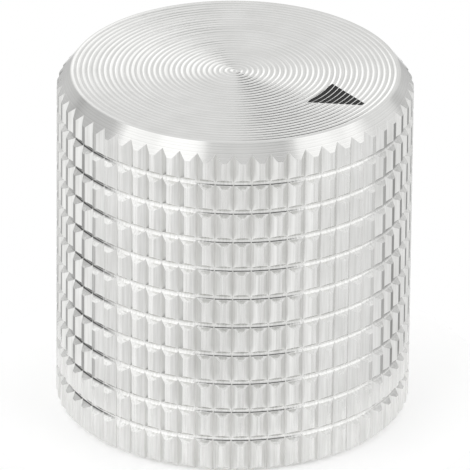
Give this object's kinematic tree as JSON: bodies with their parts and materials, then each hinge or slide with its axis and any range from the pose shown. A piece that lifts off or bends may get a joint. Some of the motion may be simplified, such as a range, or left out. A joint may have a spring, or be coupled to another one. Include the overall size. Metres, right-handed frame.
{
  "type": "rotary knob",
  "caption": "Cylindrical turned metal control knob with a cross-cut knurled side, a ring-turned top face with a black pointer, and a blind shaft bore with a grub screw.",
  "frame": {"origin": "on the knob's axis, at the flat bottom of its skirt", "axes": "+Z along the axis, out of the top face; +X towards the pointer; the grub screw lies along -X"},
  "size_m": [0.02, 0.02, 0.0202],
  "materials": {
    "turned_aluminium": "bright turned and knurled, fine tool marks",
    "black_ink": "matt printed ink",
    "screw_steel": "dark oiled steel"
  },
  "bodies": {
    "root": {"knob_body": "turned_aluminium", "pointer_mark": "black_ink", "grub_screw": "screw_steel"}
  },
  "joints": []
}
